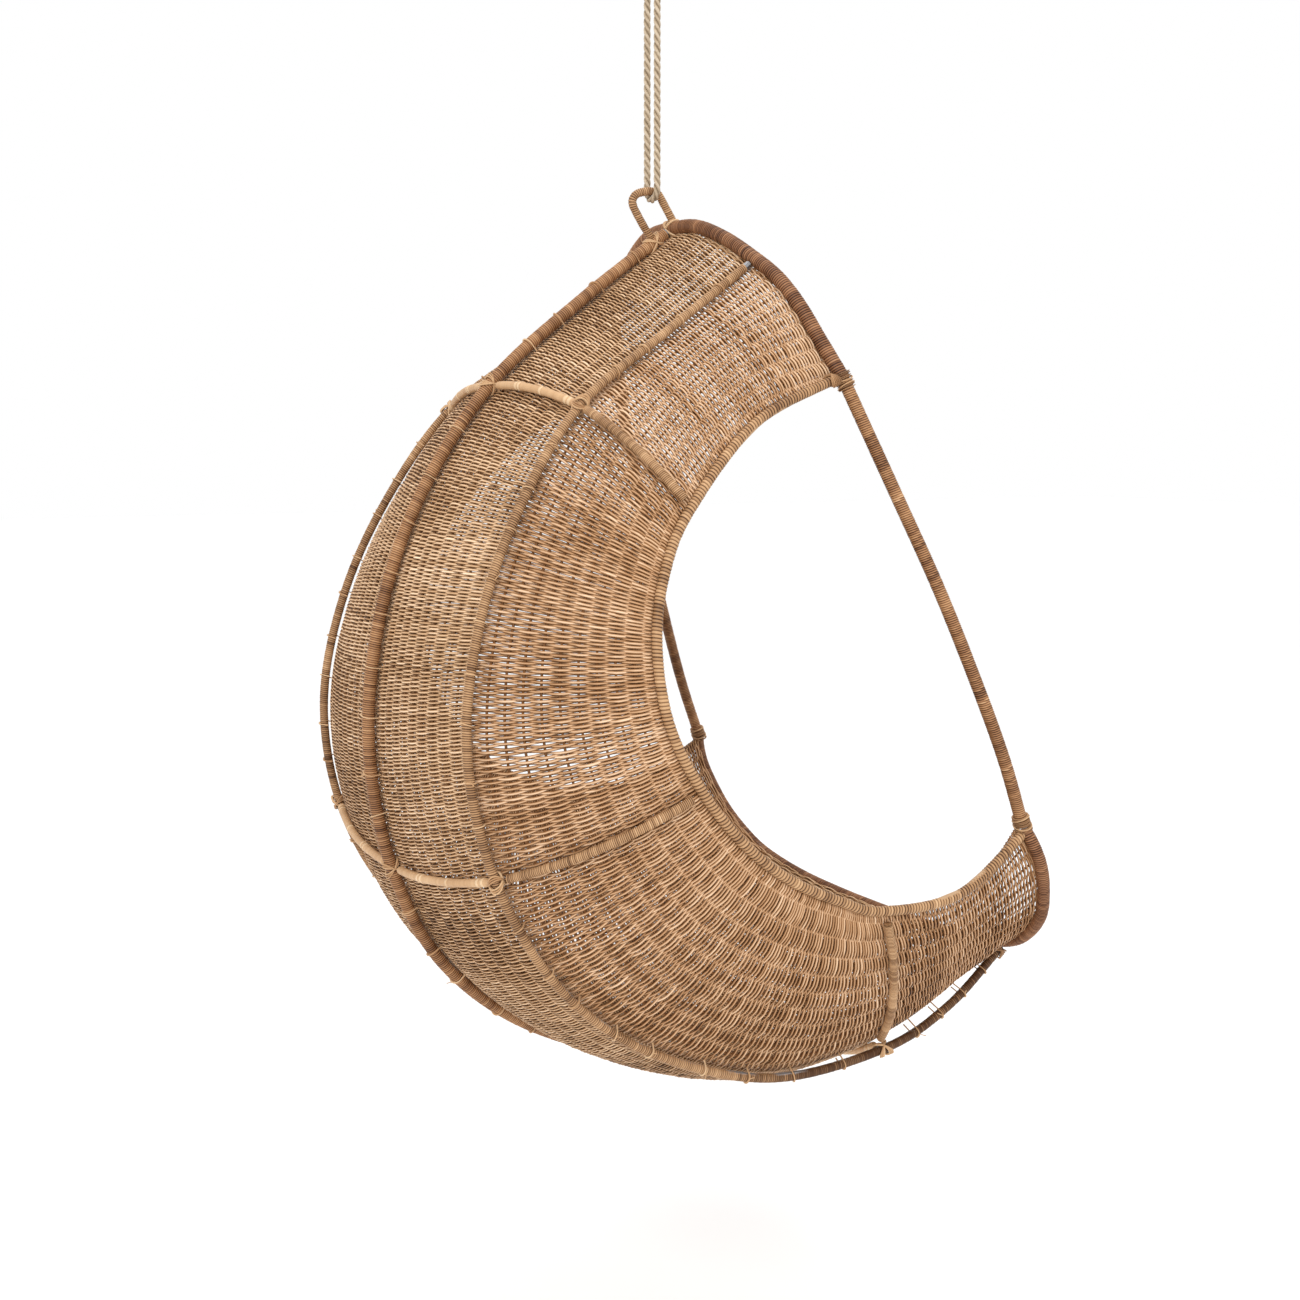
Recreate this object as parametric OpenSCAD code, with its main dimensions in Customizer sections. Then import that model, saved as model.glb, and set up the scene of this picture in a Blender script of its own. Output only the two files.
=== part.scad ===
// A hanging pod chair: a crescent of woven cane on a bound tubular frame, slung by a
// doubled rope from a swivel on a ceiling plate. Millimetres, +Z up, +X is the open front
// of the seat, +Y the sitter's left. The origin is the middle of the ceiling plate's top.

/* [Hanging] */
// Drop from the ceiling to the rope's seat in the handle
drop = 440; // [440:1:440]
// Rope diameter
rope_d = 10; // [8:0.5:10]

/* [Frame] */
// Backward lean of the front rim, in degrees
rim_lean = 20.5; // [18:0.5:23]
// Outer diameter of the bound top bow
top_bow_d = 20; // [18:1:22]
// Outer diameter of the bound bottom bow
bottom_bow_d = 18; // [15:1:19]
// Outer diameter of the bound front bars
bar_d = 18; // [15:1:19]
// Outer diameter of the bound spine
spine_d = 18; // [14:1:19]
// Outer diameter of the bound side spars
spar_d = 13; // [11:0.5:13]
// Outer diameter of the bound arm rims
arm_rim_d = 14; // [12:0.5:14]
// Diameter of the bare cane hoops
hoop_d = 12; // [9:0.5:12]
// Outer diameter of the bound handle
handle_d = 12; // [10:0.5:12]
// Thickness of the cane binding round each tube
wrap_t = 1.2; // [1:0.1:1.5]
// Wall of the spine and side spar tubes
wall = 1.2; // [1:0.1:1.5]
// Wall of the rim tubes
rim_wall = 3; // [2:0.5:3.5]

/* [Body width] */
// Half width of the side spars level with the rope's seat
spar_half_w = 171; // [165:1:180]
// How much wider each side spar stands per unit further down
spar_spread = 0.122; // [0.1:0.002:0.14]
// Half width of the arm rims level with the rope's seat
arm_half_w = 254; // [250:1:258]
// How much wider each arm rim stands per unit further down
arm_spread = 0.195; // [0.19:0.001:0.2]

/* [Weave] */
// Thickness of the woven skin, as if the cane in it were packed solid
weave_t = 3; // [2:0.5:4]
// Gap between neighbouring panels
panel_gap = 1; // [0.6:0.1:2]

/* [Ceiling fitting] */
// Diameter of the ceiling plate
plate_d = 90; // [80:1:100]
// Pitch circle of its screw holes
plate_pcd = 66; // [60:1:70]
// Diameter of its screw holes
plate_hole_d = 6.5; // [5:0.5:7]
// Number of screw holes
plate_holes = 4; // [3:1:6]

/* [Hidden] */
$fn = 48;
LEFT = 1;
RIGHT = -1;
STEEL = "#8a8d90";
ROPE = "#c9b892";
BINDING = "#9a6b45";
PALE_CANE = "#c79a68";
POLE = "#a27a4c";
WEAVE = "#b98a55";

// ---- Chair outlines. Each is a list of [x, z] below the rope's seat, one point per
// station: 0 at the top bow, 12 at the bottom bow, with hoops at stations 2, 6 and 10.
SPINE_LINE = [
    [33, -38], [-115, -145], [-255, -263], [-360, -412], [-420, -570],
    [-440, -745], [-410, -918], [-335, -1065], [-195, -1180], [0, -1250],
    [215, -1240], [335, -1180], [430, -1088],
];
SPAR_LINE = [
    [56, -95], [-92, -198], [-225, -294], [-318, -420], [-383, -562],
    [-411, -720], [-383, -880], [-303, -1025], [-179, -1125], [1, -1190],
    [191, -1184], [311, -1143], [417, -1072],
];
ARM_LINE = [
    [113, -254], [-29, -316], [-140, -424], [-185, -500], [-206, -585],
    [-200, -680], [-163, -765], [-107, -838], [-45, -888], [25, -922],
    [90, -943], [220, -938], [345, -870],
];
UPPER_HOOP = 2;
LOWER_HOOP = 6;
FRONT_HOOP = 10;
LAST_STATION = 12;

// Half outlines in the rim's own plane: [half width, distance down from the rim's top]
TOP_BOW_HALF = [
    [0, 0], [64, 4], [122, 25], [172, 54], [222, 90], [254, 132], [278, 182], [303, 233],
];
BAR_LINE = [[303, 233], [345, 388], [383, 533], [408, 672], [421, 780], [422, 880]];
BOTTOM_BOW_HALF = [
    [0, 1123], [110, 1121], [220, 1113], [318, 1092], [372, 1061],
    [410, 1021], [431, 973], [438, 935], [433, 903], [422, 880],
];
// How far the skin bulges out between two spars, as [station, bulge]
BACK_BULGE = [[0, 15], [2, 12], [6, 14], [8, 26], [10, 30], [12, 16]];
SIDE_BULGE = [[0, 25], [2, 18], [6, 28], [10, 22], [12, 16]];
// Distance from a side spar's axis to the skin, as [station, distance]: it opens to a slot
// under the front of the seat
SPAR_CLEAR = [[9.2, 14], [10.3, 24], [11.2, 22], [11.6, 15]];

// Handle centreline as [x, z] from the rope's seat
HANDLE_LINE = [
    [-4, -51], [-21, -27], [-32, -7], [-27, 5], [-13, 10.4], [0, 11.6],
    [10, 8.4], [20, -6], [30, -21],
];

// Rope route, closed on itself inside the splice: over the carabiner, under the handle
ROPE_ROUTE = [
    [0, -14, -149], [0, -14, -142], [0, -14, -135.5], [0, -12.1, -128.5], [0, -7, -123.4],
    [0, 0, -121.5], [0, 7, -123.4], [0, 12.1, -128.5], [0, 14, -135.5], [0, 14, -160],
    [0, 14, -200], [0, 14, -250], [0, 14, -300], [0, 14, -350], [0, 14, -395],
    [0, 14, -415], [0, 14, -426], [0, 12.1, -433], [0, 7, -438.1], [0, 0, -440],
    [0, -7, -438.1], [0, -12.1, -433], [0, -14, -426], [0, -14, -415], [0, -14, -395],
    [0, -14, -350], [0, -14, -300], [0, -14, -250], [0, -14, -200], [0, -14, -165],
    [0, -14, -151],
];

// Ceiling fitting levels
plate_t = 5;
housing_d = 34;
housing_bottom = -33;
housing_floor_t = 4;
cavity_d = 26;
spindle_d = 10;
running_gap = 0.05;
washer_t = 4;
eye_bar_d = 9;
eye_r = 14;
eye_z = -56;
carabiner_d = 8;
carabiner_r = 18;
carabiner_top_z = -79;
carabiner_bottom_z = -113;
gate_top_z = -82.5;
gate_bottom_z = -111.5;
gate_pin_z = -109;
gate_pin_d = 2.5;
gate_nose_z = -81.5;
gate_shoulder_z = -114.5;
tongue_t = 2.8;
splice_top_z = -138;
splice_bottom_z = -163;
splice_wall = 2.2;
bore_gap = 0.2;
SIDES = 8;

// ---- Curves
function unit(v) = v / norm(v);

// The point at parameter t of the smooth curve through the points p
function spline(p, t) =
    let (last = len(p) - 1, i = min(floor(t), last - 1), f = t - i)
    let (b = p[i], c = p[i + 1])
    let (a = i > 0 ? p[i - 1] : 2 * b - c, d = i + 2 <= last ? p[i + 2] : 2 * c - b)
    0.5 * (2 * b + (c - a) * f + (2 * a - 5 * b + 4 * c - d) * f * f
        + (3 * b - a - 3 * c + d) * f * f * f);

// count + 1 points of the curve through p, between parameters from and to
function stretch(p, from, to, count) =
    [for (i = [0 : count]) spline(p, from + (to - from) * i / count)];

function mirrored(half) = concat([for (i = [len(half) - 1 : -1 : 1]) [-half[i][0], half[i][1]]], half);

// Points in space of each outline, below the ceiling
function rim_point(p) = [
    SPINE_LINE[0][0] + p[1] * sin(rim_lean),
    p[0],
    SPINE_LINE[0][1] - p[1] * cos(rim_lean) - drop
];
function spar_w(z) = spar_half_w - spar_spread * z;
function arm_w(z) = arm_half_w - arm_spread * z;
function spine_point(k) = let (p = spline(SPINE_LINE, k)) [p[0], 0, p[1] - drop];
function spar_point(k, side) =
    let (p = spline(SPAR_LINE, k)) [p[0], side * spar_w(p[1]), p[1] - drop];
function arm_point(k, side) =
    let (p = spline(ARM_LINE, k)) [p[0], side * arm_w(p[1]), p[1] - drop];

// ---- The woven skin: station k runs along the spars, u from the spine (0) to the side
// spar (1) and on to the arm rim (2)
spine_clear = spine_d / 2 + 4.5;
rim_clear = arm_rim_d / 2 + 3;

// Direction from the spine to the arm rim, in the chair's middle plane
function inward(k) =
    let (a = spline(SPINE_LINE, k), b = spline(ARM_LINE, k), d = unit(b - a)) [d[0], 0, d[1]];

// Perpendicular to v, outward, in the plane of inward(k) and the side direction
function outward(v, k, side) =
    let (e = inward(k), y = [0, side, 0]) unit(-(v * y) * e + (v * e) * y);

function skin_spine(k) = spine_point(k) + spine_clear * inward(k);
function skin_spar(k, side) =
    spar_point(k, side) + lookup(k, SPAR_CLEAR) * (0.6 * inward(k) - 0.8 * [0, side, 0]);
function skin_arm(k, side) =
    let (a = skin_spar(k, side), b = arm_point(k, side)) b - rim_clear * unit(b - a);

function bay(u, k, side) = u <= 1
    ? [skin_spine(k), skin_spar(k, side), lookup(k, BACK_BULGE), u]
    : [skin_spar(k, side), skin_arm(k, side), lookup(k, SIDE_BULGE), u - 1];

function skin_point(u, k, side) =
    let (b = bay(u, k, side), chord = b[1] - b[0], f = b[3])
    b[0] + chord * f + 4 * f * (1 - f) * b[2] * outward(chord, k, side);

function skin_normal(u, k, side) =
    let (b = bay(u, k, side), chord = b[1] - b[0], f = b[3])
    outward(chord + 4 * (1 - 2 * f) * b[2] * outward(chord, k, side), k, side);

// ---- Swept and lofted solids
// One ring of points round centre c, square to direction t, starting level with ref
function ring(c, t, ref, r) =
    let (a = unit(cross(t, ref)), b = cross(a, unit(t)))
    [for (j = [0 : SIDES - 1]) c + r * (cos(360 * j / SIDES) * a + sin(360 * j / SIDES) * b)];

function direction(path, i) = path[min(i + 1, len(path) - 1)] - path[max(i - 1, 0)];

function band(first, second, sides) = [
    for (j = [0 : sides - 1]) let (k = (j + 1) % sides)
    each [[first + j, first + k, second + k], [first + j, second + k, second + j]]
];

function flipped(faces) = [for (f = faces) [for (i = [len(f) - 1 : -1 : 0]) f[i]]];

// A bar along path, hollow when r_in is above 0
module swept(path, ref, r_out, r_in = 0) {
    n = len(path);
    outer = [for (i = [0 : n - 1]) each ring(path[i], direction(path, i), ref, r_out)];
    inner = [for (i = [0 : n - 1]) each ring(path[i], direction(path, i), ref, r_in)];
    skin = [for (i = [0 : n - 2]) each band(i * SIDES, (i + 1) * SIDES, SIDES)];
    if (r_in > 0) {
        start = n * SIDES;
        bore = [for (i = [0 : n - 2]) each band(start + i * SIDES, start + (i + 1) * SIDES, SIDES)];
        near_end = band(start, 0, SIDES);
        far_end = band((n - 1) * SIDES, start + (n - 1) * SIDES, SIDES);
        polyhedron(concat(outer, inner), concat(skin, flipped(bore), near_end, far_end));
    } else {
        near_end = [for (j = [1 : SIDES - 2]) [0, j + 1, j]];
        far_end = [for (j = [1 : SIDES - 2]) (n - 1) * SIDES * [1, 1, 1] + [0, j, j + 1]];
        polyhedron(outer, concat(skin, near_end, far_end));
    }
}

// A sheet of weave between stations k0 and k1 and between u0 and u1
module woven_panel(u0, u1, k0, k1, side, across, along) {
    w = across + 1;
    half = (along + 1) * w;
    function at(i, j, face) =
        let (k = k0 + (k1 - k0) * i / along, u = u0 + (u1 - u0) * j / across)
        skin_point(u, k, side) + face * weave_t / 2 * skin_normal(u, k, side);
    outer = [for (i = [0 : along]) for (j = [0 : across]) at(i, j, 1)];
    inner = [for (i = [0 : along]) for (j = [0 : across]) at(i, j, -1)];
    faces = [
        for (i = [0 : along - 1]) for (j = [0 : across - 1]) let (a = i * w + j, b = a + w)
        each [[a, a + 1, b + 1], [a, b + 1, b], [half + a, half + b + 1, half + a + 1],
            [half + a, half + b, half + b + 1]]
    ];
    rim = concat(
        [for (j = [0 : across]) j],
        [for (i = [1 : along]) i * w + across],
        [for (j = [across - 1 : -1 : 0]) along * w + j],
        [for (i = [along - 1 : -1 : 1]) i * w]
    );
    m = len(rim);
    edge = [
        for (i = [0 : m - 1]) let (a = rim[i], b = rim[(i + 1) % m])
        each [[a, half + a, half + b], [a, half + b, b]]
    ];
    all_faces = concat(faces, edge);
    polyhedron(concat(outer, inner), side > 0 ? all_faces : flipped(all_faces));
}

// Turns +Z into direction t and +X towards direction out, at point p
module placed(p, t, out) {
    z = unit(t);
    y = unit(cross(z, out));
    x = cross(y, z);
    multmatrix([
        [x[0], y[0], z[0], p[0]],
        [x[1], y[1], z[1], p[1]],
        [x[2], y[2], z[2], p[2]],
        [0, 0, 0, 1]
    ]) children();
}

// A strip bent round the outside of a bar of radius r
module clasp(r, strip_r, reach = 190) {
    rotate([0, 0, -reach / 2])
        rotate_extrude(angle = reach)
            translate([r + strip_r + 0.4, 0]) circle(strip_r, $fn = 16);
}

// ---- Ceiling fitting
module ceiling_plate() {
    color(STEEL) difference() {
        translate([0, 0, -plate_t]) cylinder(h = plate_t, d = plate_d);
        for (i = [0 : plate_holes - 1])
            rotate([0, 0, 45 + 360 / plate_holes * i])
                translate([plate_pcd / 2, 0, -plate_t - 1]) cylinder(h = plate_t + 2, d = plate_hole_d);
    }
}

module swivel_housing() {
    depth = -plate_t - housing_bottom;
    color(STEEL) difference() {
        translate([0, 0, housing_bottom]) cylinder(h = depth, d = housing_d);
        translate([0, 0, housing_bottom + housing_floor_t]) cylinder(h = depth, d = cavity_d);
        translate([0, 0, housing_bottom - 1])
            cylinder(h = housing_floor_t + 2, d = spindle_d + 2 * running_gap);
    }
}

module thrust_washer() {
    color("#b08d3c") translate([0, 0, housing_bottom + housing_floor_t]) difference() {
        cylinder(h = washer_t, d = cavity_d - 2);
        translate([0, 0, -1]) cylinder(h = washer_t + 2, d = spindle_d + 1);
    }
}

module swivel_eye() {
    head_z = housing_bottom + housing_floor_t + washer_t + 0.1;
    color(STEEL) union() {
        translate([0, 0, head_z]) cylinder(h = 5, d = 20);
        translate([0, 0, eye_z + eye_r - 1]) cylinder(h = head_z - eye_z - eye_r + 2, d = spindle_d);
        translate([0, 0, housing_bottom - 6]) cylinder(h = 5, d = 15);
        translate([0, 0, eye_z]) rotate([0, 90, 0])
            rotate_extrude() translate([eye_r, 0]) circle(d = eye_bar_d);
    }
}

module half_ring(z, start) {
    translate([0, 0, z]) rotate([90, 0, 0]) rotate([0, 0, start])
        rotate_extrude(angle = 180) translate([carabiner_r, 0]) circle(d = carabiner_d);
}

module carabiner() {
    color(STEEL) difference() {
        union() {
            half_ring(carabiner_top_z, 0);
            half_ring(carabiner_bottom_z, 180);
            translate([-carabiner_r, 0, carabiner_bottom_z])
                cylinder(h = carabiner_top_z - carabiner_bottom_z, d = carabiner_d);
            translate([carabiner_r, 0, gate_nose_z])
                cylinder(h = carabiner_top_z - gate_nose_z, d = carabiner_d);
            translate([carabiner_r - 2.4, -tongue_t / 2, carabiner_bottom_z - 2])
                cube([4.8, tongue_t, gate_pin_z - carabiner_bottom_z + 4.4]);
        }
        difference() {
            translate([carabiner_r - 6, -6, gate_shoulder_z]) cube([12, 12, 12]);
            translate([carabiner_r - 3, -tongue_t / 2, gate_shoulder_z - 1])
                cube([6, tongue_t, 14]);
        }
        translate([carabiner_r, 0, gate_pin_z]) rotate([90, 0, 0])
            cylinder(h = 10, d = gate_pin_d, center = true);
    }
}

module carabiner_gate() {
    color(STEEL) difference() {
        translate([carabiner_r, 0, gate_bottom_z])
            cylinder(h = gate_top_z - gate_bottom_z, d = carabiner_d - 0.6);
        translate([carabiner_r - 6, -tongue_t / 2 - 0.4, gate_bottom_z - 1])
            cube([12, tongue_t + 0.8, gate_pin_z - gate_bottom_z + 5]);
        translate([carabiner_r, 0, gate_pin_z]) rotate([90, 0, 0])
            cylinder(h = 10, d = gate_pin_d + 2 * running_gap, center = true);
    }
}

module gate_pin() {
    color(STEEL) translate([carabiner_r, 0, gate_pin_z]) rotate([90, 0, 0])
        cylinder(h = carabiner_d - 1, d = gate_pin_d, center = true);
}

// ---- Rope
module hanging_rope() {
    last = len(ROPE_ROUTE) - 1;
    color(ROPE) swept(stretch(ROPE_ROUTE, 0, last, 2 * last), [1, 0, 0], rope_d / 2);
}

module rope_splice() {
    color(ROPE) translate([0, ROPE_ROUTE[0][1], splice_bottom_z]) difference() {
        cylinder(h = splice_top_z - splice_bottom_z, r = rope_d / 2 + splice_wall);
        translate([0, 0, -1])
            cylinder(h = splice_top_z - splice_bottom_z + 2, r = rope_d / 2 + bore_gap);
    }
}

// ---- Frame. Each member is a tube with a separate binding of cane wound on it.
module member_tube(path, ref, d, tube_wall) {
    r = d / 2 - wrap_t - bore_gap;
    color(STEEL) swept(path, ref, r, r - tube_wall);
}

module member_wrap(path, ref, d, colour = BINDING) {
    color(colour) swept(path, ref, d / 2, d / 2 - wrap_t);
}

RIM_NORMAL = [cos(rim_lean), 0, sin(rim_lean)];
Y = [0, 1, 0];
function rim_path(line, from, to, count) =
    [for (p = stretch(line, from, to, count)) rim_point(p)];

function handle_path() =
    [for (p = stretch(HANDLE_LINE, 0, len(HANDLE_LINE) - 1, 20)) [p[0], 0, p[1] - drop]];
function top_bow_path() =
    let (line = mirrored(TOP_BOW_HALF)) rim_path(line, 0, len(line) - 1, 24);
function bottom_bow_path() =
    let (line = mirrored(BOTTOM_BOW_HALF)) rim_path(line, 0.1, len(line) - 1.1, 36);
// The bars run from bow to bow, end to end
function bar_path(side) =
    [for (p = rim_path(BAR_LINE, 0.022, 4.955, 12)) [p[0], side * p[1], p[2]]];
// The spine, spars and arm rims stop just short of the rim members, as [first, last] station
SPINE_ENDS = [0.07, 11.89];
SPAR_ENDS = [0.08, 11.91];
ARM_ENDS = [0.085, 11.91];
PATH_STEPS = 28;
function path_station(ends, i) = ends[0] + (ends[1] - ends[0]) * i / PATH_STEPS;
function spine_path() = [for (i = [0 : PATH_STEPS]) spine_point(path_station(SPINE_ENDS, i))];
function spar_path(side) = [for (i = [0 : PATH_STEPS]) spar_point(path_station(SPAR_ENDS, i), side)];
function arm_path(side) = [for (i = [0 : PATH_STEPS]) arm_point(path_station(ARM_ENDS, i), side)];

module handle_rod() {
    color(STEEL) swept(handle_path(), Y, handle_d / 2 - wrap_t - bore_gap);
}
module handle_wrap() { member_wrap(handle_path(), Y, handle_d); }
module top_bow_tube() { member_tube(top_bow_path(), RIM_NORMAL, top_bow_d, rim_wall); }
module top_bow_wrap() { member_wrap(top_bow_path(), RIM_NORMAL, top_bow_d); }
module bottom_bow_tube() { member_tube(bottom_bow_path(), RIM_NORMAL, bottom_bow_d, rim_wall); }
module bottom_bow_wrap() { member_wrap(bottom_bow_path(), RIM_NORMAL, bottom_bow_d); }
module front_bar_tube(side) { member_tube(bar_path(side), RIM_NORMAL, bar_d, rim_wall); }
module front_bar_wrap(side) { member_wrap(bar_path(side), RIM_NORMAL, bar_d); }
module spine_tube() { member_tube(spine_path(), Y, spine_d, wall); }
module spine_wrap() { member_wrap(spine_path(), Y, spine_d); }
module side_spar_tube(side) { member_tube(spar_path(side), Y, spar_d, wall); }
module side_spar_wrap(side) { member_wrap(spar_path(side), Y, spar_d, PALE_CANE); }
module arm_rim_rod(side) {
    color(POLE) swept(arm_path(side), Y, arm_rim_d / 2 - wrap_t - bore_gap);
}
module arm_rim_binding(side) { member_wrap(arm_path(side), Y, arm_rim_d, PALE_CANE); }

// A hoop is one pole from the spine to the spar and one from the spar to the arm rim
hoop_lift = hoop_d / 2 + 3.8;
module hoop(k, side) {
    along = spine_point(k + 0.1) - spine_point(k - 0.1);
    for (ends = [[0.09, 0.965, 5], [1.075, 1.94, 8]]) {
        path = [
            for (i = [0 : ends[2]]) let (u = ends[0] + (ends[1] - ends[0]) * i / ends[2])
            skin_point(u, k, side) + hoop_lift * skin_normal(u, k, side)
        ];
        color(PALE_CANE) swept(path, along, hoop_d / 2);
    }
}

// ---- Woven panels, split at the hoops and spars
PANELS = [
    ["upper", 0.12, UPPER_HOOP, 4], ["middle", UPPER_HOOP, LOWER_HOOP, 8],
    ["lower", LOWER_HOOP, FRONT_HOOP, 8], ["front", FRONT_HOOP, 11.82, 4],
];
station_gap = panel_gap / 170;
module back_weave(i, side) {
    p = PANELS[i];
    color(WEAVE) woven_panel(0.003, 0.99, p[1] + station_gap / 2, p[2] - station_gap / 2, side, 4, p[3]);
}
module side_weave(i, side) {
    p = PANELS[i];
    color(WEAVE) woven_panel(1.005, 2, p[1] + station_gap / 2, p[2] - station_gap / 2, side, 6, p[3]);
}

// ---- Bindings
lash_r = 1.8;
tie_r = 1.3;
foot_station = 0.206;
module ring_row(p, t, out, r, count, reach) {
    for (i = [0 : count - 1])
        placed(p + unit(t) * (i - (count - 1) / 2) * 2.1 * lash_r, t, out) clasp(r, lash_r, reach);
}

// Lashings stand on both sides of each hoop on the spars, beside the handle's feet and
// round the bars' ends
module joint_lashings() {
    color(PALE_CANE) {
        for (k = [UPPER_HOOP, LOWER_HOOP, FRONT_HOOP]) {
            for (step = [-0.14, 0.14]) {
                t = spine_point(k + step + 0.05) - spine_point(k + step - 0.05);
                ring_row(spine_point(k + step), t, -inward(k), spine_d / 2, 2, 170);
                for (side = [LEFT, RIGHT])
                    ring_row(spar_point(k + step, side),
                        spar_point(k + step + 0.05, side) - spar_point(k + step - 0.05, side),
                        [0, side, 0] - inward(k), spar_d / 2, 2, 170);
            }
        }
        for (step = [-0.068, 0.068])
            ring_row(spine_point(foot_station + step), spine_point(foot_station) - spine_point(0),
                -inward(0), spine_d / 2, 2, 170);
        for (y = [-12.4, 12.4])
            ring_row(rim_point([y, 0]), Y, [0, 0, 1], top_bow_d / 2, 2, 200);
        for (side = [LEFT, RIGHT]) {
            path = bar_path(side);
            last = len(path) - 1;
            top = path[1] - path[0];
            bottom = path[last - 1] - path[last];
            ring_row(path[0] + 14 * unit(top), top, RIM_NORMAL, bar_d / 2, 3, 359);
            ring_row(path[last] + 14 * unit(bottom), bottom, RIM_NORMAL, bar_d / 2, 3, 359);
        }
    }
}

TIE_STATIONS = [for (i = [1 : 29]) if (i % 10 != 5) 0.4 * i];
module cane_ties_spine() {
    color(PALE_CANE) for (k = TIE_STATIONS)
        placed(spine_point(k), spine_point(k + 0.05) - spine_point(k - 0.05), -inward(k))
            clasp(spine_d / 2, tie_r, 180);
}
module cane_ties(side) {
    color(PALE_CANE) for (k = TIE_STATIONS)
        placed(spar_point(k, side), spar_point(k + 0.05, side) - spar_point(k - 0.05, side),
            [0, side, 0] - inward(k)) clasp(spar_d / 2, tie_r, 180);
}

ceiling_plate();
swivel_housing();
thrust_washer();
swivel_eye();
carabiner();
carabiner_gate();
gate_pin();
hanging_rope();
rope_splice();
handle_rod();
handle_wrap();
top_bow_tube();
top_bow_wrap();
bottom_bow_tube();
bottom_bow_wrap();
front_bar_tube(LEFT);  // front_bar_tube_left
front_bar_tube(RIGHT);  // front_bar_tube_right
front_bar_wrap(LEFT);  // front_bar_wrap_left
front_bar_wrap(RIGHT);  // front_bar_wrap_right
spine_tube();
spine_wrap();
side_spar_tube(LEFT);  // side_spar_tube_left
side_spar_tube(RIGHT);  // side_spar_tube_right
side_spar_wrap(LEFT);  // side_spar_wrap_left
side_spar_wrap(RIGHT);  // side_spar_wrap_right
arm_rim_rod(LEFT);  // arm_rim_rod_left
arm_rim_rod(RIGHT);  // arm_rim_rod_right
arm_rim_binding(LEFT);  // arm_rim_binding_left
arm_rim_binding(RIGHT);  // arm_rim_binding_right
hoop(UPPER_HOOP, LEFT);  // upper_hoop_left
hoop(UPPER_HOOP, RIGHT);  // upper_hoop_right
hoop(LOWER_HOOP, LEFT);  // lower_hoop_left
hoop(LOWER_HOOP, RIGHT);  // lower_hoop_right
hoop(FRONT_HOOP, LEFT);  // front_hoop_left
hoop(FRONT_HOOP, RIGHT);  // front_hoop_right
back_weave(0, LEFT);  // back_weave_upper_left
back_weave(0, RIGHT);  // back_weave_upper_right
back_weave(1, LEFT);  // back_weave_middle_left
back_weave(1, RIGHT);  // back_weave_middle_right
back_weave(2, LEFT);  // back_weave_lower_left
back_weave(2, RIGHT);  // back_weave_lower_right
back_weave(3, LEFT);  // back_weave_front_left
back_weave(3, RIGHT);  // back_weave_front_right
side_weave(0, LEFT);  // side_weave_upper_left
side_weave(0, RIGHT);  // side_weave_upper_right
side_weave(1, LEFT);  // side_weave_middle_left
side_weave(1, RIGHT);  // side_weave_middle_right
side_weave(2, LEFT);  // side_weave_lower_left
side_weave(2, RIGHT);  // side_weave_lower_right
side_weave(3, LEFT);  // side_weave_front_left
side_weave(3, RIGHT);  // side_weave_front_right
joint_lashings();
cane_ties_spine();
cane_ties(LEFT);  // cane_ties_left
cane_ties(RIGHT);  // cane_ties_right
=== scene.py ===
"""A hanging pod chair of woven cane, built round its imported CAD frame.

Lengths are in millimetres until mesh() scales them. A place on the skin is (u, k): u runs
from the spine (0) to the side spar (1) and the arm rim (2), and k counts the stations from
the top bow (0) to the bottom bow (12).
"""

import math

import bpy
import numpy as np
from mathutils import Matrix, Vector


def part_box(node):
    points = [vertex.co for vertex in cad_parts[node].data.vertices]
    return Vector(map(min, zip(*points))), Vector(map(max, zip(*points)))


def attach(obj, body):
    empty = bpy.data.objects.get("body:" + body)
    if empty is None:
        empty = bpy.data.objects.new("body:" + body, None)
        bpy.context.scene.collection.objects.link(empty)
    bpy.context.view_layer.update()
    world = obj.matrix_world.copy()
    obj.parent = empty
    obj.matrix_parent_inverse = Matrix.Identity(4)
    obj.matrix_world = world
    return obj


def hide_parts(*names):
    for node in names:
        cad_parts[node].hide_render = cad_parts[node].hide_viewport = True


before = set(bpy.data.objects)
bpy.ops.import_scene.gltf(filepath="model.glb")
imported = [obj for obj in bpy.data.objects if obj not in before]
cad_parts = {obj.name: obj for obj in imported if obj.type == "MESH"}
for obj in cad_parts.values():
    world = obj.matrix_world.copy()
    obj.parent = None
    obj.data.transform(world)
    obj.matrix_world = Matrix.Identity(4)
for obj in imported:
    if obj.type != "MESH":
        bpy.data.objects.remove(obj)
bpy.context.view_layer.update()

MM = 0.001
DROP = 440
RIGHT, LEFT = -1, 1
SIDE_NAMES = {LEFT: "left", RIGHT: "right"}
rng = np.random.default_rng(7)

# ---- The chair's outlines, as in the CAD part: [x, z] below the rope's seat
SPINE_LINE = [
    [33, -38], [-115, -145], [-255, -263], [-360, -412], [-420, -570],
    [-440, -745], [-410, -918], [-335, -1065], [-195, -1180], [0, -1250],
    [215, -1240], [335, -1180], [430, -1088],
]
SPAR_LINE = [
    [56, -95], [-92, -198], [-225, -294], [-318, -420], [-383, -562],
    [-411, -720], [-383, -880], [-303, -1025], [-179, -1125], [1, -1190],
    [191, -1184], [311, -1143], [417, -1072],
]
ARM_LINE = [
    [113, -254], [-29, -316], [-140, -424], [-185, -500], [-206, -585],
    [-200, -680], [-163, -765], [-107, -838], [-45, -888], [25, -922],
    [90, -943], [220, -938], [345, -870],
]
TOP_BOW_HALF = [
    [0, 0], [64, 4], [122, 25], [172, 54], [222, 90], [254, 132], [278, 182], [303, 233],
]
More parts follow.
